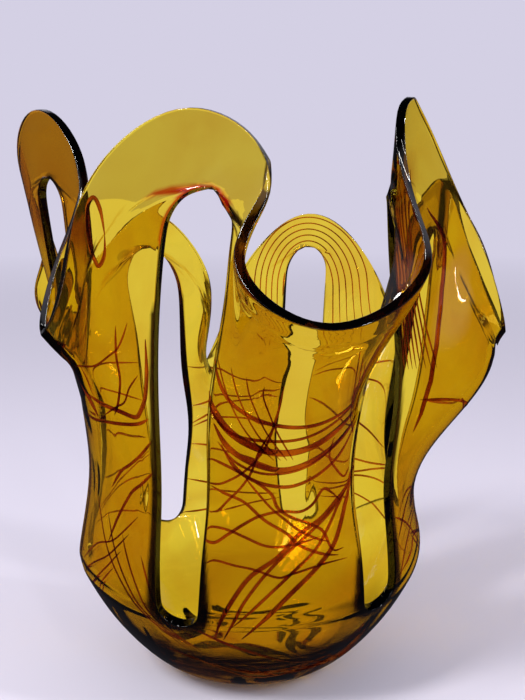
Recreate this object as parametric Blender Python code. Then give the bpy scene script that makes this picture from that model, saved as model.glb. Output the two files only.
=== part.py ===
"""Free-form blown glass vase: a round bowl whose wall is slit six times and pulled into loops and lips.

Lengths are in metres and angles in degrees. The origin is at the middle of the foot, with +Z up.
Azimuth 0 is the front (-Y) and grows towards +X.
"""
from collections import namedtuple
from math import atan2, cos, degrees, hypot, pi, radians, sin

import bmesh
import bpy
import numpy as np

# Walls
WALL = 0.0045
FLOOR_THICKNESS = 0.006
LIP_ROUNDING = 0.0016

# Bowl, from the flat foot up to the waist: every level is round
FOOT_RADIUS = 0.034
HEEL_RADIUS, HEEL_HEIGHT = 0.052, 0.0075
BELLY_RADIUS, BELLY_HEIGHT = 0.073, 0.030
SHOULDER_RADIUS, SHOULDER_HEIGHT = 0.0895, 0.063
WAIST_RADIUS, WAIST_HEIGHT = 0.084, 0.095
MIDDLE_HEIGHT = 0.140

# Rim: the height of the tallest loop's crown, and the distance of the widest lip from the axis
RIM_HEIGHT = 0.292
RIM_RADIUS = 0.132

# A rim point: azimuth, how far it stays inside the widest lip and how far it stays below the tallest crown
Point = namedtuple("Point", "azimuth inset drop")

# A loop stands over each slot. Its rim has a crown and a shoulder on each side. The slot has round ends, a width
# at its foot and at its head, and a head that may lean to one side.
Loop = namedtuple("Loop", "left crown right foot_azimuth middle_radius foot_level foot_width head_width head_shift")
# A lip is the wall between two slots, pulled outwards. Its rim has a tip and a neck on each side.
Lip = namedtuple("Lip", "left tip right middle_radius")

LOOPS = (
    Loop(Point(-48, 0.035, 0.039), Point(-17, 0.044, 0.006), Point(2, 0.043, 0.032),
         -22, 0.084, 0.25, 0.021, 0.038, 0.055),
    Loop(Point(48, 0.034, 0.042), Point(56, 0.043, 0.000), Point(74, 0.029, 0.043),
         46, 0.083, 0.25, 0.024, 0.030, -0.12),
    Loop(Point(93, 0.029, 0.046), Point(105, 0.030, 0.040), Point(120, 0.026, 0.056),
         103, 0.084, 0.33, 0.020, 0.022, 0.0),
    Loop(Point(138, 0.031, 0.086), Point(158, 0.040, 0.059), Point(180, 0.037, 0.089),
         160, 0.084, 0.25, 0.024, 0.025, 0.0),
    Loop(Point(196.5, 0.035, 0.098), Point(214, 0.038, 0.061), Point(231, 0.033, 0.076),
         216, 0.084, 0.25, 0.026, 0.035, 0.05),
    Loop(Point(259, 0.008, 0.031), Point(276, 0.029, 0.004), Point(295, 0.045, 0.036),
         276, 0.086, 0.27, 0.022, 0.024, 0.0),
)

LIPS = (
    Lip(Point(0, 0.029, 0.070), Point(15, 0.005, 0.098), Point(44, 0.017, 0.079), 0.102),
    Lip(Point(73, 0.013, 0.075), Point(78, 0.003, 0.113), Point(89, 0.017, 0.081), 0.107),
    Lip(Point(124, 0.020, 0.085), Point(130, 0.012, 0.116), Point(135, 0.022, 0.112), 0.100),
    Lip(Point(186, 0.025, 0.120), Point(193, 0.014, 0.153), Point(197.5, 0.020, 0.137), 0.100),
    Lip(Point(236, 0.005, 0.125), Point(247, 0.000, 0.105), Point(250, 0.013, 0.074), 0.094),
    Lip(Point(296, 0.032, 0.074), Point(304, 0.017, 0.108), Point(309, 0.026, 0.085), 0.089),
)

# Around the wall, a whole number is a slot and a half is the tip of a lip
SHOULDER_OFFSET = 1 / 6
NECK_OFFSET = 1 / 3

# How far the wall leans outwards from upright where it reaches the rim
CROWN_LEAN, SHOULDER_LEAN, NECK_LEAN, TIP_LEAN = 4, 12, 28, 40

# The tall front loop's right limb hooks out over the front lip's neck: the wall there swings back up to the neck's
# height, and out from there to the loop's shoulder
HOOK_AZIMUTH, HOOK_REACH, HOOK_SWING = 3, 12, 4
HOOK_DEPTH = 0.037

# Up the wall, 0 is the foot's edge and 1 is the rim
HEEL_LEVEL, BELLY_LEVEL, SHOULDER_LEVEL, WAIST_LEVEL, MIDDLE_LEVEL = 0.09, 0.19, 0.29, 0.39, 0.55
SLOT_HEAD_LEVEL = 0.90

# Mesh
COLUMNS_PER_LIP = 16
BOWL_ROWS = 5
CAP_ROWS = 4
SLOT_ROWS = 8
BAND_ROWS = 3
HEAD_CLEAR = 0.55
PACE_STEP = 0.002
PACE_MARGIN = 0.01
MERGE_DISTANCE = 1e-6


def polar(azimuth, radius, height):
    angle = radians(azimuth)
    return np.array((radius * sin(angle), -radius * cos(angle), height))


def rim_height(point):
    return RIM_HEIGHT - point.drop


def smooth_rise(value, start, end):
    share = min(1.0, max(0.0, (value - start) / (end - start)))
    return share * share * (3 - 2 * share)


def hooked(point):
    """The point, swung about the axis where the loop's limb hooks out."""
    azimuth, radius, height = degrees(atan2(point[0], -point[1])), hypot(point[0], point[1]), point[2]
    near = max(0.0, 1 - ((azimuth - HOOK_AZIMUTH) / HOOK_REACH) ** 2) ** 2
    neck, shoulder = rim_height(LIPS[0].left), rim_height(LOOPS[0].right)
    swing = 2 * smooth_rise(height, neck, shoulder) - smooth_rise(height, neck - HOOK_DEPTH, neck)
    return polar(azimuth + HOOK_SWING * near * swing, radius, height)


def ring_spline(knots, values, period):
    """A smooth closed curve through the values: its value at any place around the ring."""
    knots = np.asarray(knots)
    values = np.asarray(values, dtype=float)
    count = len(knots)
    gaps = np.diff(np.append(knots, knots[0] + period))
    matrix = np.zeros((count, count))
    right = np.zeros_like(values)
    for i in range(count):
        before, after = gaps[i - 1], gaps[i]
        matrix[i, i - 1] += 1 / before
        matrix[i, i] += 2 / before + 2 / after
        matrix[i, (i + 1) % count] += 1 / after
        right[i] = 3 * ((values[i] - values[i - 1]) / before**2 + (values[(i + 1) % count] - values[i]) / after**2)
    slopes = np.linalg.solve(matrix, right)

    def value(place):
        place = (place - knots[0]) % period + knots[0]
        i = int(np.searchsorted(knots, place, side="right")) - 1
        gap = gaps[i]
        t = (place - knots[i]) / gap
        nxt = (i + 1) % count
        return ((1 + 2 * t) * (1 - t) ** 2 * values[i] + t * (1 - t) ** 2 * gap * slopes[i]
                + t * t * (3 - 2 * t) * values[nxt] + t * t * (t - 1) * gap * slopes[nxt])

    return value


def rising_spline(knots, points, first_slope, last_slope):
    """A smooth open curve through the points, with its slope given at both ends."""
    count = len(knots)
    gaps = np.diff(knots)
    matrix = np.zeros((count, count))
    right = np.zeros((count, 3))
    matrix[0, 0] = matrix[-1, -1] = 1
    right[0], right[-1] = first_slope, last_slope
    for i in range(1, count - 1):
        before, after = gaps[i - 1], gaps[i]
        matrix[i, i - 1: i + 2] = 1 / before, 2 / before + 2 / after, 1 / after
        right[i] = 3 * ((points[i] - points[i - 1]) / before**2 + (points[i + 1] - points[i]) / after**2)
    slopes = np.linalg.solve(matrix, right)

    def value(level):
        i = min(int(np.searchsorted(knots, level, side="right")) - 1, count - 2)
        gap = gaps[i]
        t = (level - knots[i]) / gap
        return ((1 + 2 * t) * (1 - t) ** 2 * points[i] + t * (1 - t) ** 2 * gap * slopes[i]
                + t * t * (3 - 2 * t) * points[i + 1] + t * t * (t - 1) * gap * slopes[i + 1])

    return value


def wall_surface():
    """The outer face of the wall: a function from (around, level) to a point."""
    count = len(LOOPS)
    around, rims, directions = [], [], []
    for k, (loop, lip) in enumerate(zip(LOOPS, LIPS)):
        following = LOOPS[(k + 1) % count]
        for offset, point, lean in (
                (0, loop.crown, CROWN_LEAN), (SHOULDER_OFFSET, loop.right, SHOULDER_LEAN),
                (NECK_OFFSET, lip.left, NECK_LEAN), (0.5, lip.tip, TIP_LEAN),
                (1 - NECK_OFFSET, lip.right, NECK_LEAN), (1 - SHOULDER_OFFSET, following.left, SHOULDER_LEAN)):
            around.append(k + offset)
            rims.append(polar(point.azimuth, RIM_RADIUS - point.inset, rim_height(point)))
            directions.append(polar(point.azimuth, sin(radians(lean)), cos(radians(lean))))
    rim = ring_spline(around, rims, count)
    direction = ring_spline(around, directions, count)

    # The low part turns from slot to slot, a little ahead of or behind an even spacing
    drift = [loop.foot_azimuth - LOOPS[0].foot_azimuth - 360.0 * k / count for k, loop in enumerate(LOOPS)]
    azimuth_drift = ring_spline(range(count), drift, count)

    places = [k / 2 for k in range(2 * count)]
    radii = [value for loop, lip in zip(LOOPS, LIPS) for value in (loop.middle_radius, lip.middle_radius)]
    middle_radius = ring_spline(places, radii, count)
    tops = [rim_height(point) for loop, lip in zip(LOOPS, LIPS) for point in (loop.crown, lip.tip)]
    middle_height = ring_spline(places, [min(MIDDLE_HEIGHT, (WAIST_HEIGHT + top) / 2) for top in tops], count)

    bowl = ((FOOT_RADIUS, 0.0), (HEEL_RADIUS, HEEL_HEIGHT), (BELLY_RADIUS, BELLY_HEIGHT),
            (SHOULDER_RADIUS, SHOULDER_HEIGHT), (WAIST_RADIUS, WAIST_HEIGHT))
    levels = np.array((0.0, HEEL_LEVEL, BELLY_LEVEL, SHOULDER_LEVEL, WAIST_LEVEL, MIDDLE_LEVEL, 1.0))

    def column(place):
        azimuth = LOOPS[0].foot_azimuth + 360.0 * place / count + azimuth_drift(place)
        points = [polar(azimuth, radius, height) for radius, height in bowl]
        points.append(polar(azimuth, middle_radius(place), middle_height(place)))
        points.append(rim(place))
        outward = polar(azimuth, 1.0, 0.0)
        heel_slope = outward * np.linalg.norm(points[1] - points[0]) / HEEL_LEVEL
        last = direction(place)
        reach = np.linalg.norm(points[-1] - points[-2]) / (1 - MIDDLE_LEVEL)
        climb = rising_spline(levels, points, heel_slope, last / np.linalg.norm(last) * reach)
        return lambda level: hooked(climb(level))

    return column


def slot_middle(k, level):
    """Where around the wall the middle of slot k is."""
    return k + LOOPS[k % len(LOOPS)].head_shift * smooth_rise(level, WAIST_LEVEL, 1)


def slot_rows(k, column):
    """The mesh's rows at slot k, from the foot's edge to the rim: level, middle, half width, half width kept clear."""
    loop = LOOPS[k % len(LOOPS)]
    foot, head = loop.foot_level, SLOT_HEAD_LEVEL

    def pace(level):
        """Metres along and up the wall for one unit of place and of level."""
        place, step = slot_middle(k, level), PACE_STEP
        along = np.linalg.norm(column(place + step)(level) - column(place - step)(level)) / (2 * step)
        up = np.linalg.norm(column(place)(level + step) - column(place)(level - step)) / (2 * step)
        return along, up

    foot_cap = loop.foot_width / 2 / pace(foot)[1]
    head_cap = loop.head_width / 2 / pace(head)[1]
    low, high = foot + foot_cap, head - head_cap
    # Each station has its level, the edge's share of the slot's half width, and the share kept clear by the columns
    stations = [(foot * i / BOWL_ROWS, 0.0, i / BOWL_ROWS) for i in range(BOWL_ROWS)]
    for i in range(CAP_ROWS):
        angle = pi / 2 * i / CAP_ROWS
        stations.append((low - foot_cap * cos(angle), sin(angle), 1.0))
    stations += [(low + (high - low) * i / SLOT_ROWS, 1.0, 1.0) for i in range(SLOT_ROWS)]
    for i in range(CAP_ROWS):
        angle = pi / 2 * i / CAP_ROWS
        stations.append((high + head_cap * sin(angle), cos(angle), HEAD_CLEAR + (1 - HEAD_CLEAR) * cos(angle)))
    for i in range(BAND_ROWS + 1):
        stations.append((head + (1 - head) * i / BAND_ROWS, 0.0, HEAD_CLEAR * (1 - i / BAND_ROWS)))
    rows = []
    for level, edge, clear in stations:
        rise = min(1.0, max(0.0, (level - foot) / (head - foot)))
        width = loop.foot_width + (loop.head_width - loop.foot_width) * rise
        half = width / 2 / pace(min(max(level, PACE_MARGIN), 1 - PACE_MARGIN))[0]
        rows.append((level, slot_middle(k, level), half * edge, half * clear))
    return rows


def build_mesh():
    """The outer face of the vase, open at the slots and the rim."""
    count = len(LOOPS)
    column = wall_surface()
    slots = [slot_rows(k, column) for k in range(count + 1)]
    bm = bmesh.new()
    for k in range(count):
        grid = []
        for near, far in zip(slots[k], slots[k + 1]):
            row = []
            for i in range(COLUMNS_PER_LIP + 1):
                share = i / COLUMNS_PER_LIP
                start = near[1] + near[2 if i == 0 else 3]
                end = far[1] - far[2 if i == COLUMNS_PER_LIP else 3]
                level = near[0] + (far[0] - near[0]) * smooth_rise(share, 0, 1)
                row.append(bm.verts.new(column(start + (end - start) * share)(level)))
            grid.append(row)
        for low_row, high_row in zip(grid, grid[1:]):
            for i in range(COLUMNS_PER_LIP):
                bm.faces.new((low_row[i], low_row[i + 1], high_row[i + 1], high_row[i]))
    bmesh.ops.remove_doubles(bm, verts=bm.verts, dist=MERGE_DISTANCE)
    foot = [edge for edge in bm.edges if edge.is_boundary and max(v.co.z for v in edge.verts) < MERGE_DISTANCE]
    bmesh.ops.edgeloop_fill(bm, edges=foot)
    bmesh.ops.recalc_face_normals(bm, faces=bm.faces)
    return bm


def amber_glass():
    material = bpy.data.materials.new("amber_glass")
    material.use_nodes = True
    shader = material.node_tree.nodes["Principled BSDF"]
    shader.inputs["Base Color"].default_value = (0.62, 0.40, 0.05, 1)
    shader.inputs["Roughness"].default_value = 0.03
    shader.inputs["Transmission Weight"].default_value = 1.0
    shader.inputs["IOR"].default_value = 1.5
    return material


def add_vase_body():
    """The blown body: its outer face, thickened inwards with a heavy floor, and its cut edges melted round."""
    bm = build_mesh()
    mesh = bpy.data.meshes.new("vase_body")
    bm.to_mesh(mesh)
    bm.free()
    mesh.materials.append(amber_glass())
    mesh.shade_smooth()
    body = bpy.data.objects.new("vase_body", mesh)
    bpy.context.collection.objects.link(body)

    thickness = body.vertex_groups.new(name="thickness")
    for vertex in mesh.vertices:
        metres = FLOOR_THICKNESS + (WALL - FLOOR_THICKNESS) * smooth_rise(vertex.co.z, 0, SHOULDER_HEIGHT)
        thickness.add([vertex.index], metres / FLOOR_THICKNESS, "REPLACE")
    wall = body.modifiers.new("wall", "SOLIDIFY")
    wall.thickness = FLOOR_THICKNESS
    wall.offset = -1.0
    wall.use_even_offset = False
    wall.vertex_group = thickness.name
    lips = body.modifiers.new("melted_lips", "BEVEL")
    lips.width = LIP_ROUNDING
    lips.segments = 1
    lips.limit_method = "ANGLE"
    lips.angle_limit = radians(55)
    return body


def main():
    for thing in list(bpy.data.objects):
        bpy.data.objects.remove(thing)
    add_vase_body()


main()
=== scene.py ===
from math import atan2, cos, degrees, radians, sin

import bmesh
import bpy
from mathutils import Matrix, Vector
from mathutils.bvhtree import BVHTree


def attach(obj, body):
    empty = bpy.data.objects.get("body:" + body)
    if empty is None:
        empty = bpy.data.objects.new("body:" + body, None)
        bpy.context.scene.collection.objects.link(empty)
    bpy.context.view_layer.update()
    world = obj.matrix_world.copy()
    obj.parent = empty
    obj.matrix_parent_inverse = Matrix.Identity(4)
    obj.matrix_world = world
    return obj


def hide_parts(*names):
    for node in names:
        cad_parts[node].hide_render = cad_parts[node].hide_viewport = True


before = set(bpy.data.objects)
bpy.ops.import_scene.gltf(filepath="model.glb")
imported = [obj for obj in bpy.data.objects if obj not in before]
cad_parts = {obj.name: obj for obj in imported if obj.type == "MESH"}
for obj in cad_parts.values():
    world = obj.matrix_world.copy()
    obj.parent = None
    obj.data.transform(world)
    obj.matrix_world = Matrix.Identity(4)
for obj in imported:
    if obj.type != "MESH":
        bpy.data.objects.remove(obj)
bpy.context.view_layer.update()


# The vase's wall. It is one gather of amber soda-lime glass, blown, slit six times while hot, swung open
# and pulled into loops and lips. The cut edges are melted round, so they are thick. Their colour is painted
# light and shade: dark where the thick round edge turns the light away, pale where it catches light, red
# where light shines through it.

def srgb(hex_code):
    """A colour written as in a paint chart, turned to the linear values that a shader takes."""
    parts = [int(hex_code[i:i + 2], 16) / 255 for i in (1, 3, 5)]
    return [c / 12.92 if c <= 0.04045 else ((c + 0.055) / 1.055) ** 2.4 for c in parts] + [1.0]


def add_node(tree, kind, settings=None, **links):
    """Adds one node. Its settings name attributes, or inputs by name or number; its links name inputs."""
    node = tree.nodes.new(kind)
    for name, value in (settings or {}).items():
        if isinstance(name, int) or name in node.inputs:
            node.inputs[name].default_value = value
        else:
            setattr(node, name, value)
    for name, output in links.items():
        key = int(name[1:]) if name[1:].isdigit() else name.replace("_", " ")
        tree.links.new(output, node.inputs[key])
    return node


def new_material(name):
    """An empty material: its node tree, its shader and its output."""
    material = bpy.data.materials.new(name)
    material.use_nodes = True
    tree = material.node_tree
    return material, tree, tree.nodes["Principled BSDF"], tree.nodes["Material Output"]


# Blown soda-lime glass with silver amber in it: fire-polished, so mirror smooth, with faint waves a few
# centimetres apart where it was swung and cooled. The colour is in the body of the glass, so thick places
# go brown.
AMBER_PER_METRE, AMBER_LET_THROUGH = 640, (0.905, 0.815, 0.02, 1)
blown_glass, tree, shader, output = new_material("blown_amber_glass")
place = add_node(tree, "ShaderNodeTexCoord").outputs["Object"]

# A slow swirl in the amber's tint, under the painted shade and light of the cut edges as it is stored on the
# mesh
swirl = add_node(tree, "ShaderNodeTexNoise", {"Scale": 14.0, "Detail": 3.0, "Distortion": 1.5}, Vector=place)
tint = add_node(tree, "ShaderNodeValToRGB", Fac=swirl.outputs["Fac"])
tint.color_ramp.elements[0].position, tint.color_ramp.elements[0].color = 0.34, srgb("#f4e2c8")
tint.color_ramp.elements[1].position, tint.color_ramp.elements[1].color = 0.62, srgb("#fffdf4")
painted_edge = add_node(tree, "ShaderNodeVertexColor", {"layer_name": "painted_edge_shade"})
tint_and_edge_shade = add_node(tree, "ShaderNodeMix", {"data_type": "RGBA", "blend_type": "MULTIPLY", 0: 1.0},
                 i6=tint.outputs["Color"], i7=painted_edge.outputs["Color"])

# Painted dark shade in streaks round the heel, for the shadow and shelf edge seen through the thick glass:
# between the foot and the shoulder, and strongest at the front
split = add_node(tree, "ShaderNodeSeparateXYZ", {}, Vector=place)
height = split.outputs["Z"]
flat = add_node(tree, "ShaderNodeVectorMath", {"operation": "MULTIPLY", 1: (1, 1, 0)}, i0=place).outputs[0]
reach = add_node(tree, "ShaderNodeVectorMath", {"operation": "LENGTH"}, i0=flat).outputs["Value"]
past_foot = add_node(tree, "ShaderNodeMapRange", {"From Min": 0.040, "From Max": 0.056},
                     Value=reach).outputs[0]
below = add_node(tree, "ShaderNodeMapRange", {"From Min": 0.042, "From Max": 0.030}, Value=height).outputs[0]
front = add_node(tree, "ShaderNodeMapRange", {"From Min": 0.02, "From Max": -0.03, "To Min": 0.15},
                 Value=split.outputs["Y"]).outputs[0]
flattened = add_node(tree, "ShaderNodeVectorMath", {"operation": "MULTIPLY", 1: (1, 1, 6)}, i0=place)
streaks = add_node(tree, "ShaderNodeTexNoise", {"Scale": 22.0, "Detail": 5.0, "Distortion": 2.0},
                   Vector=flattened.outputs[0])
heel_shade = add_node(tree, "ShaderNodeMapRange", {"From Min": 0.30, "From Max": 0.50, "To Min": 0.55},
                 Value=streaks.outputs["Fac"]).outputs[0]
for limit in (past_foot, below, front):
    heel_shade = add_node(tree, "ShaderNodeMath", {"operation": "MULTIPLY"}, i0=heel_shade, i1=limit).outputs[0]
tint_and_painted_shade = add_node(tree, "ShaderNodeMix", {"data_type": "RGBA", 7: srgb("#1e1006")},
                  i0=heel_shade, i6=tint_and_edge_shade.outputs[2])

# Faint waves all over, and folds in the floor that run like the lines on a map
waves = add_node(tree, "ShaderNodeTexNoise", {"Scale": 38.0, "Detail": 1.0}, Vector=place)
ripple = add_node(tree, "ShaderNodeBump", {"Strength": 0.25, "Distance": 0.0006}, Height=waves.outputs["Fac"])
billow = add_node(tree, "ShaderNodeTexNoise", {"Scale": 15.0, "Detail": 0.5, "Distortion": 0.8}, Vector=place)
turns = add_node(tree, "ShaderNodeMath", {"operation": "MULTIPLY", 1: 36.0}, i0=billow.outputs["Fac"])
contours = add_node(tree, "ShaderNodeMath", {"operation": "SINE"}, i0=turns.outputs[0])
low = add_node(tree, "ShaderNodeMapRange", {"From Min": 0.010, "From Max": 0.005}, Value=height).outputs[0]
folds = add_node(tree, "ShaderNodeBump", {"Distance": 0.0022}, Height=contours.outputs[0], Strength=low,
                 Normal=ripple.outputs["Normal"])

tree.links.new(tint_and_painted_shade.outputs[2], shader.inputs["Base Color"])
tree.links.new(folds.outputs["Normal"], shader.inputs["Normal"])
shader.inputs["Roughness"].default_value = 0.015
shader.inputs["IOR"].default_value = 1.51
shader.inputs["Transmission Weight"].default_value = 1.0
depth = add_node(tree, "ShaderNodeVolumeAbsorption", {"Color": AMBER_LET_THROUGH, "Density": AMBER_PER_METRE})
tree.links.new(depth.outputs["Volume"], output.inputs["Volume"])


def around(point):
    """Where a point is on the vase: its azimuth from the front towards +X, in degrees up to 360."""
    return degrees(atan2(point.x, -point.y)) % 360


# The painted shade and light along the cut edges: azimuths from and to, heights in mm from and to, how many
# mm of the wall the painted colour reaches into at the first height and at the second, and that colour. The
# first row that fits holds, and elsewhere it is painted dark shade and narrow. The colour thins out over the
# last third of its reach.
EDGE_SHADE_STRETCHES = (
    # Pale painted light on the rims of the loops, red painted light through the top edge of a slot, and black
    # painted shade down the slots' sides and round their feet
    (135, 182, 190, 300, 0.4, 0.4, "#f2dfae"),
    (197, 235, 185, 300, 0.4, 0.4, "#f2dfae"),
    (306, 358, 265, 300, 0.4, 0.4, "#e8d08a"),
    (306, 328, 225, 265, 0.4, 0.4, "#e8d08a"),
    (328, 355, 225, 262, 1.3, 1.3, "#e0481c"),
    (322, 352, 20, 48, 9.5, 8.0, "#140c05"),
    (320, 338, 48, 90, 8.0, 4.2, "#140c05"),
    (320, 338, 90, 200, 4.2, 2.4, "#140c05"),
    (338, 352, 48, 90, 8.0, 1.2, "#140c05"),
    (32, 62, 20, 48, 12.0, 8.0, "#140c05"),
    (28, 46, 48, 80, 8.0, 1.6, "#140c05"),
    (46, 62, 48, 96, 8.0, 3.4, "#140c05"),
    (46, 60, 96, 200, 3.4, 1.6, "#140c05"),
    (256, 296, 20, 215, 2.0, 1.4, "#1c1208"),
)
EDGE_SHADE_DARK, EDGE_SHADE_RUN = "#2c2010", 0.6

# Painted brown shade where the wall is seen nearly edge-on, through more glass, on the narrow fold at the
# upper left and on the left limb of the pointed loop: azimuths from and to, heights in mm from and to, and
# the colour. It fades in over the number of degrees given below, or three times as many mm.
EDGE_ON_SHADE = (
    (252, 302, 214, 330, "#d2a878"),
    (44, 62, 178, 268, "#c8947c"),
)
EDGE_ON_SHADE_FADE = 5

# How far under a face the look through the glass starts and how far away the other side of a wall can be,
# in metres, and the cosine between the two faces, which look opposite ways
SKIN, THICKEST_WALL, FACES_AWAY = 0.001, 0.008, -0.85


def is_wall(face, solid):
    """Whether the glass under a face is one wall thick and its other side faces away, unlike at an edge."""
    under = face.calc_center_median() - face.normal * SKIN
    facing, depth = solid.ray_cast(under, -face.normal)[1::2]
    return facing is not None and depth < THICKEST_WALL and facing.dot(face.normal) < FACES_AWAY


body = bpy.data.objects.new("blown_body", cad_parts["vase_body"].data.copy())
bpy.context.scene.collection.objects.link(body)
bm = bmesh.new()
bm.from_mesh(body.data)
bmesh.ops.remove_doubles(bm, verts=bm.verts, dist=1e-6)
bmesh.ops.join_triangles(bm, faces=bm.faces, angle_face_threshold=radians(30),
                         angle_shape_threshold=radians(80))
bm.verts.index_update()
glass = BVHTree.FromBMesh(bm)
edge_faces = [[vert.index for vert in face.verts] for face in bm.faces if not is_wall(face, glass)]
edges = BVHTree.FromPolygons([vert.co for vert in bm.verts], edge_faces)
for face in bm.faces:
    face.smooth = True
bm.to_mesh(body.data)
bm.free()
round_off = body.modifiers.new("round_off", "SUBSURF")
round_off.levels = round_off.render_levels = 2
rounded = bpy.data.meshes.new_from_object(body.evaluated_get(bpy.context.evaluated_depsgraph_get()))
body.modifiers.clear()
body.data = rounded
# Each point of the wall gets its painted colour: the brown shade where the wall is seen edge-on, and near a
# cut edge the edge's painted shade and light
painted_edge_layer = rounded.color_attributes.new("painted_edge_shade", "FLOAT_COLOR", "POINT")
for vertex, painted in zip(rounded.vertices, painted_edge_layer.data):
    turn, height = around(vertex.co), vertex.co.z * 1000
    run, dark, clear = EDGE_SHADE_RUN, EDGE_SHADE_DARK, Vector((1, 1, 1, 1))
    for start, end, low, high, run_low, run_high, shade in EDGE_SHADE_STRETCHES:
        if start < turn < end and low < height < high:
            run, dark = run_low + (run_high - run_low) * (height - low) / (high - low), shade
            break
    for start, end, low, high, shade in EDGE_ON_SHADE:
        within = min(turn - start, end - turn, (height - low) / 3, (high - height) / 3) / EDGE_ON_SHADE_FADE
        clear = clear.lerp(Vector(srgb(shade)), min(1.0, max(0.0, within)))
    away = edges.find_nearest(vertex.co)[3] * 1000
    painted.color = Vector(srgb(dark)).lerp(clear, min(1.0, max(0.0, 3 * away / run - 2)))
rounded.materials.clear()
rounded.materials.append(blown_glass)
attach(body, "root")
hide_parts("vase_body")


# The trailed threads. Thin strings of dark red glass were laid on the hot bubble and melted in, so they
# lie just under its outer face, and run on from one post of the wall to the next.

# Where each thread runs: its half width in mm, then stations on the outer face as azimuth in degrees and
# height in mm
THREADS = (
    (1.0, (-9, 184), (-8, 171), (-4, 160), (4, 153), (14, 151), (24, 155), (31, 163)),
    (1.9, (-11, 170), (-10, 159), (-6, 149), (0, 142), (8, 138), (16, 140), (24, 147), (31, 156)),
    (0.8, (-11, 160), (-9, 153), (-4, 146), (3, 144), (13, 145), (22, 151), (30, 160)),
    (1.6, (-9, 149), (-5, 139), (2, 132), (10, 129), (18, 133), (27, 142), (32, 151)),
    (0.7, (-8, 141), (-3, 132), (5, 127), (15, 129), (24, 138), (31, 150)),
    (1.0, (-7, 140), (-4, 131), (0, 125), (6, 121), (13, 120), (21, 125), (28, 134), (33, 149)),
    (0.8, (-12, 131), (-10, 132), (-6, 130), (-2, 127), (3, 122), (7, 116), (9, 109), (13, 104), (20, 99),
     (24, 95), (27, 86), (31, 86)),
    (0.6, (-12, 131), (-13, 126), (-12, 121), (-10, 120), (-7, 121), (-2, 126), (2, 133), (5, 143), (7, 158),
     (8, 170)),
    (0.6, (-11, 106), (-9, 107), (-6, 112), (-2, 119), (1, 127), (3, 138), (6, 150)),
    (0.8, (-11, 119), (-7, 116), (-1, 112), (5, 103), (12, 96), (16, 90), (23, 85), (29, 83)),
    (0.7, (-13, 97), (-11, 99), (-6, 98), (-1, 95), (5, 91), (10, 90), (16, 91), (23, 93)),
    (0.8, (-13, 97), (-13, 93), (-10, 92), (-6, 96), (-1, 101), (4, 105), (10, 107), (16, 106), (20, 109),
     (23, 116), (26, 114), (30, 109)),
    (0.6, (-1, 126), (2, 119), (7, 109), (12, 102), (16, 97), (22, 92), (26, 90)),
    (0.6, (-13, 82), (-10, 84), (-4, 82), (2, 80), (9, 76), (13, 77), (23, 80), (32, 81)),
    (0.6, (23, 143), (23, 133), (27, 125), (31, 120), (33, 124)),
    (1.1, (-11, 44), (-8, 56), (-4, 67), (1, 77), (9, 85), (16, 95), (24, 102), (29, 109), (33, 115),
     (35, 126), (39, 141)),
    (0.8, (-8, 44), (-4, 56), (-1, 65), (5, 77), (12, 87), (20, 96), (27, 104), (32, 112)),
    (0.8, (-5, 52), (4, 65), (13, 77), (21, 87), (26, 97), (30, 107), (33, 114)),
    (1.2, (-2, 45), (6, 58), (13, 68), (21, 78), (27, 87), (30, 95), (33, 107), (35, 121), (39, 141)),
    (1.1, (306, 156), (311, 151), (317, 148), (322, 146), (324, 149), (326, 156), (327, 168), (327, 183)),
    (0.9, (300, 144), (305, 142), (311, 142), (317, 142), (323, 143), (327, 146)),
    (0.6, (317, 188), (317, 175), (318, 163), (317, 153), (315, 146)),
    (0.5, (324, 166), (321, 160), (319, 153), (316, 150), (311, 145)),
    (0.8, (328, 136), (323, 128), (318, 122), (314, 118), (308, 108)),
    (0.8, (328, 121), (323, 114), (318, 108), (313, 96), (309, 82)),
    (0.5, (305, 170), (311, 169), (315, 174), (318, 179), (321, 190)),
    (1.2, (302, 200), (304, 186), (306, 172), (306, 158), (308, 144)),
    (1.2, (67, 240), (72, 227), (71, 210), (66, 182), (63, 164), (61, 148), (60, 134)),
    (0.7, (57, 80), (64, 92), (70, 100), (78, 98), (88, 90)),
    (0.7, (58, 64), (66, 70), (71, 76), (80, 74), (92, 66)),
    (0.8, (60, 150), (69, 148), (80, 140), (92, 138)),
    (0.8, (52, 221), (45, 245), (44, 255), (47, 262)),
    (1.0, (315, 229), (314.4, 240), (313, 246), (311.4, 241), (310.8, 231), (311.2, 221), (312.4, 215),
     (314.4, 220), (315, 229)),
    (0.9, (340, 52), (352, 42), (4, 34), (16, 27), (30, 24), (44, 30)),
    (0.6, (76, 104), (80, 92), (83, 80), (88, 66)),
    (0.6, (72, 92), (82, 96), (92, 84), (98, 70)),
    (0.6, (56, 60), (62, 74), (72, 84), (84, 88)),
    (0.6, (56, 92), (66, 84), (76, 70), (84, 56)),
)

# Bundles of fine threads that run side by side: along the round loop at the back, up the pointed loop,
# across one another on the left of the bowl, down from the front lip, round the heel, and in waves round
# the back
BUNDLES = [(0.35, (167.5 + 2.2 * i, 150), (167.5 + 2.2 * i, 170),
            *((158 + (9.5 + 2.2 * i) * cos(radians(a)), 188 + (24 + 3.4 * i) * sin(radians(a)))
              for a in range(0, 181, 18)), (148.5 - 2.2 * i, 170), (148.5 - 2.2 * i, 150)) for i in range(6)]
BUNDLES += [(0.5, (56 + 1.1 * i, 165), (54.5 + 1.2 * i, 195), (51 + 1.4 * i, 222), (46.5 + 1.7 * i, 258))
            for i in range(8)]
BUNDLES += [(0.5, (298 + 9 * i, 102 - 7 * i), (308 + 7 * i, 80 - 5 * i), (322 + 4 * i, 58 - 4 * i),
             (337 + 2 * i, 34)) for i in range(4)]
BUNDLES += [(0.5, (322 - 3 * i, 98 - 9 * i), (312 - 2 * i, 84 - 8 * i), (302 - i, 78 - 10 * i),
             (292, 66 - 7 * i)) for i in range(4)]
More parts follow.
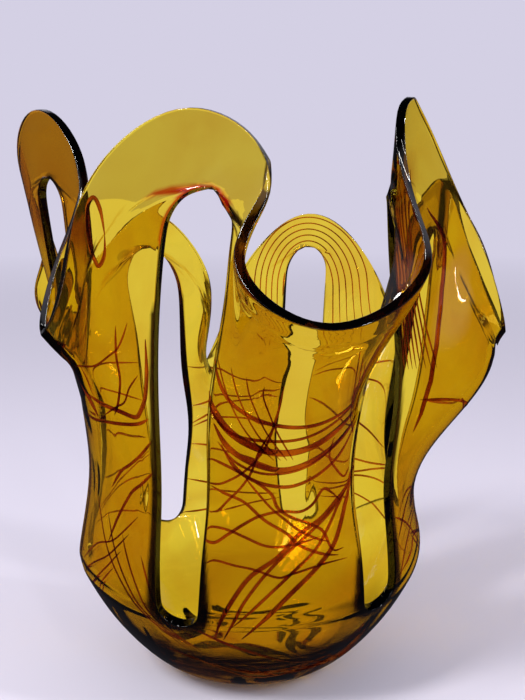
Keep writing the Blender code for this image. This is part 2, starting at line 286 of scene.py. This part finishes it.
BUNDLES += [(0.4, (4 * i - 8, 178 - 3 * i), (3 * i - 5, 163), (2.5 * i, 147), (7 + 1.6 * i, 134))
            for i in range(4)]
BUNDLES += [(0.4, (24 + 1.5 * i, 186 - 4 * i), (25.5 + 1.5 * i, 168), (28 + 1.2 * i, 152), (32, 141))
            for i in range(3)]
BUNDLES += [(0.8, (322 + 7 * i, 34 - i), (342 + 6 * i, 26 - 2 * i), (2 + 6 * i, 15 + 2 * i), (24 + 5 * i, 18),
             (48, 26 + 3 * i)) for i in range(6)]
BUNDLES += [(0.6, *((azimuth, 62 + 13 * i + 9 * sin(radians(3.1 * azimuth + 75 * i)))
                    for azimuth in range(92 + 3 * i, 292 - 4 * i, 12))) for i in range(7)]

# Dark red glass with an uneven depth of colour. It lies in glass of nearly its own index, so it only tints.
silver_red, tree, shader, output = new_material("trailed_oxblood_glass")
place = add_node(tree, "ShaderNodeTexCoord").outputs["Object"]
drawn = add_node(tree, "ShaderNodeTexNoise", {"Scale": 60.0, "Detail": 2.0}, Vector=place)
blood = add_node(tree, "ShaderNodeValToRGB", Fac=drawn.outputs["Fac"])
blood.color_ramp.elements[0].position, blood.color_ramp.elements[0].color = 0.35, srgb("#7c2810")
blood.color_ramp.elements[1].position, blood.color_ramp.elements[1].color = 0.65, srgb("#cc7030")
tree.links.new(blood.outputs["Color"], shader.inputs["Base Color"])
shader.inputs["Roughness"].default_value = 0.08
shader.inputs["IOR"].default_value = 1.03
shader.inputs["Transmission Weight"].default_value = 1.0


# In metres: the longest way through slanting glass, and the step that takes a ray past the face it has met
THICKEST_CUT, STEP_INTO_GLASS = 0.02, 1e-5


def outer_face(azimuth, height):
    """The point where the wall's outer face is, seen from the axis, or None over a slot."""
    ahead = Vector((sin(radians(azimuth)), -cos(radians(azimuth)), 0))
    start = Vector((0, 0, height))
    hits = []
    while len(hits) < 2:
        hit = glass.ray_cast(start, ahead)[0]
        if hit is None:
            return None
        hits.append(hit)
        start = hit + ahead * STEP_INTO_GLASS
    if (hits[1] - hits[0]).length > THICKEST_CUT:
        return None
    return hits[1]


def between(stations, steps):
    """Stations along a smooth line through the given ones."""
    ends = [stations[0], *stations, stations[-1]]
    for four in zip(ends, ends[1:], ends[2:], ends[3:]):
        for i in range(steps):
            t = i / steps
            yield [0.5 * (2 * b + (c - a) * t + (2 * a - 5 * b + 4 * c - d) * t * t
                          + (3 * b - a - 3 * c + d) * t**3) for a, b, c, d in zip(*four)]
    yield stations[-1]


# In metres: the pipe's radius for a spline radius of 1, and the jump that breaks a thread. In mm: the glass
# over a thread. A thread swells from a share of its width at its ends to all of it a seventh of its way in.
PIPE, JUMP, COVER = 0.001, 0.012, 0.25
END_SHARE, SWELLS_BY, STEPS = 0.2, 7, 6

trails = bpy.data.curves.new("trailed_threads", "CURVE")
trails.dimensions = "3D"
trails.bevel_depth = PIPE
trails.bevel_resolution = 2
trails.use_fill_caps = True
for half_width, *stations in (*THREADS, *BUNDLES):
    unrolled = [stations[0]]
    for azimuth, height in stations[1:]:
        turn = (azimuth - unrolled[-1][0] + 180) % 360 - 180
        unrolled.append((unrolled[-1][0] + turn, height))
    runs = [[]]
    for azimuth, height in between(unrolled, STEPS):
        point = outer_face(azimuth, height / 1000)
        if runs[-1] and (point is None or (point - runs[-1][-1]).length > JUMP):
            runs.append([])
        if point is not None:
            runs[-1].append(point)
    for run in runs:
        if len(run) < 3:
            continue
        spline = trails.splines.new("POLY")
        spline.points.add(len(run) - 1)
        for i, (bead, point) in enumerate(zip(spline.points, run)):
            outwards = Vector((point.x, point.y, 0)).normalized()
            bead.co = (*(point - outwards * (half_width + COVER) / 1000), 1)
            from_end = min(i, len(run) - 1 - i) / (len(run) - 1)
            bead.radius = half_width * (END_SHARE + (1 - END_SHARE) * min(1.0, SWELLS_BY * from_end))
trails.materials.append(silver_red)
threads = bpy.data.objects.new("trailed_threads", trails)
bpy.context.scene.collection.objects.link(threads)
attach(threads, "root")


# Camera: at the photograph's place, a little above the rim and looking down by ten degrees.
camera = bpy.data.objects.new("camera", bpy.data.cameras.new("camera"))
bpy.context.scene.collection.objects.link(camera)
SENSOR, FOCAL_PIXELS, PIXELS_HIGH = 36, 1100, 700
camera.data.sensor_width = SENSOR
camera.data.lens = SENSOR * FOCAL_PIXELS / PIXELS_HIGH
camera.location = (0.0067, -0.558, 0.264)
camera.rotation_euler = (radians(80), 0, 0)
bpy.context.scene.camera = camera

# Floor: a wide pale table that takes the vase's shadow. It fades into the wall's colour far off, and what
# the glass shows of it glows evenly, since the light that the glass gathers onto the table isn't traced.
floor = bpy.data.objects.new("floor", bpy.data.meshes.new("floor"))
bpy.context.scene.collection.objects.link(floor)
bm = bmesh.new()
bmesh.ops.create_circle(bm, cap_ends=True, segments=96, radius=6.0)
bm.to_mesh(floor.data)
bm.free()
table_paint, tree, shader, output = new_material("matt_table_paint")
shader.inputs["Base Color"].default_value = srgb("#e6e0ee")
shader.inputs["Roughness"].default_value = 0.7
table_place = add_node(tree, "ShaderNodeTexCoord").outputs["Object"]
away = add_node(tree, "ShaderNodeVectorMath", {"operation": "LENGTH"}, i0=table_place)
far = add_node(tree, "ShaderNodeMapRange", {"From Min": 0.5, "From Max": 2.5}, Value=away.outputs["Value"])
path = add_node(tree, "ShaderNodeLightPath")
through = path.outputs["Is Transmission Ray"]
mirrored = add_node(tree, "ShaderNodeMath", {"operation": "SUBTRACT", "use_clamp": True},
                    i0=path.outputs["Is Glossy Ray"], i1=through).outputs[0]
fade = add_node(tree, "ShaderNodeMath", {"operation": "MAXIMUM"}, i0=far.outputs["Result"],
                i1=path.outputs["Is Glossy Ray"])
near = add_node(tree, "ShaderNodeMix", {"data_type": "RGBA", 6: srgb("#d4d0e4"), 7: srgb("#ffffff")},
                i0=through)
# In the glass's mirror the table shows a painted dark grey, a painted reflection of a dim room
hue = add_node(tree, "ShaderNodeMix", {"data_type": "RGBA", 7: srgb("#2e2c32")},
               i0=mirrored, i6=near.outputs[2])
glow = add_node(tree, "ShaderNodeEmission", {}, Color=hue.outputs[2])
mixed = add_node(tree, "ShaderNodeMixShader", {},
                 i0=fade.outputs[0], i1=shader.outputs["BSDF"], i2=glow.outputs[0])
tree.links.new(mixed.outputs[0], output.inputs["Surface"])
floor.data.materials.append(table_paint)

# Light: a pale wall all round for the eye and through the glass, and a dark ceiling. The glass mirrors a
# dimmer room with a band of windows. A window lamp over the left shoulder gives the shadow, and three
# narrower lamps round the vase give the glass its highlights.
world = bpy.data.worlds.new("room")
bpy.context.scene.world = world
world.use_nodes = True
tree = world.node_tree
room = tree.nodes["Background"]
path = add_node(tree, "ShaderNodeLightPath")
ahead = add_node(tree, "ShaderNodeTexCoord").outputs["Generated"]
up = add_node(tree, "ShaderNodeSeparateXYZ", {}, Vector=ahead).outputs["Z"]
high = add_node(tree, "ShaderNodeMapRange", {"From Min": 0.45, "From Max": 0.85}, Value=up).outputs["Result"]
wall = add_node(tree, "ShaderNodeMix", {"data_type": "RGBA", 6: srgb("#dad6ea"), 7: srgb("#4a4a52")}, i0=high)
dim = add_node(tree, "ShaderNodeValToRGB", Fac=up)
for position, shade in ((0.16, "#34343a"), (0.30, "#c4c4d2"), (0.46, "#c4c4d2"), (0.62, "#1c1c20")):
    dim.color_ramp.elements.new(position).color = srgb(shade)
dim.color_ramp.elements.remove(dim.color_ramp.elements[0])
dim.color_ramp.elements.remove(dim.color_ramp.elements[-1])
soft = add_node(tree, "ShaderNodeMix", {"data_type": "RGBA", 6: srgb("#bcbcc6")},
                i0=path.outputs["Is Glossy Ray"], i7=dim.outputs[0])
through = add_node(tree, "ShaderNodeMix", {"data_type": "RGBA"},
                   i0=path.outputs["Is Transmission Ray"], i6=soft.outputs[2], i7=wall.outputs[2])
seen = add_node(tree, "ShaderNodeMix", {"data_type": "RGBA", 7: srgb("#d4d0e4")},
                i0=path.outputs["Is Camera Ray"], i6=through.outputs[2])
tree.links.new(seen.outputs[2], room.inputs["Color"])
room.inputs["Strength"].default_value = 1.0

for name, spot, size, watts in (("window", (-0.9, -0.8, 1.3), (0.32, 0.5), 17),
                                ("side_lamp", (1.1, -0.5, 0.9), (0.12, 0.5), 6),
                                ("left_panel", (-1.3, -0.35, 0.85), (0.22, 0.8), 3.5),
                                ("strip", (0.45, -1.2, 0.9), (0.05, 0.6), 2)):
    lamp = bpy.data.objects.new(name, bpy.data.lights.new(name, "AREA"))
    bpy.context.scene.collection.objects.link(lamp)
    lamp.data.shape = "RECTANGLE"
    lamp.data.size, lamp.data.size_y = size
    lamp.data.energy = watts
    lamp.visible_camera = False
    lamp.location = spot
    lamp.rotation_euler = (Vector((0, 0, 0.12)) - Vector(spot)).to_track_quat("-Z", "Y").to_euler()

bpy.context.scene.view_settings.view_transform = "Standard"
